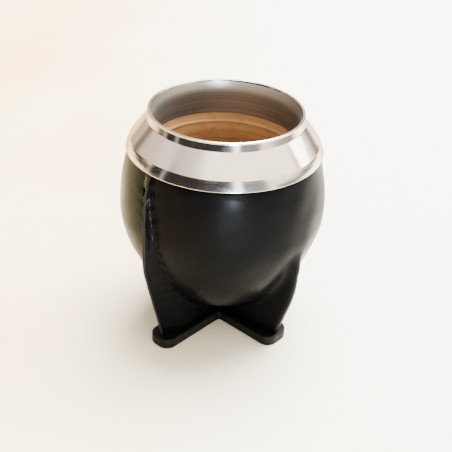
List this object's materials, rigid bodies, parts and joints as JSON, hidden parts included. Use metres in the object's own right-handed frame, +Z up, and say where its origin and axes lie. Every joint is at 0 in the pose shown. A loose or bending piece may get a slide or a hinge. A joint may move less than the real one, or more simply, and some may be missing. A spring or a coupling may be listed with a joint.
{
  "type": "mate gourd cup",
  "caption": "Open calabash mate cup in a sewn black leather cover with crossed fin feet on a leather sole, and a flared polished metal rim with an inner sleeve.",
  "frame": {"origin": "On the axis of the cup, at the underside of the sole, where the cup stands.", "axes": "+Z up along the axis of the cup. The four fins and sole arms stand on the diagonals, and the sewn seam is on the fin at -X, -Y."},
  "size_m": [0.092, 0.092, 0.105],
  "materials": {
    "rim_metal": "turned and polished outside, fine lathe rings on the satin inner sleeve",
    "calabash": "scraped and cured calabash wall, matt, with faint rings",
    "black_leather": "smooth dyed leather, semi gloss, with a sewn seam and soft wrinkles at the fins",
    "sole_leather": "thick dyed sole leather with burnished edges"
  },
  "bodies": {
    "root": {"metal_rim": "rim_metal", "gourd": "calabash", "leather_cover": "black_leather", "sole": "sole_leather"}
  },
  "joints": []
}
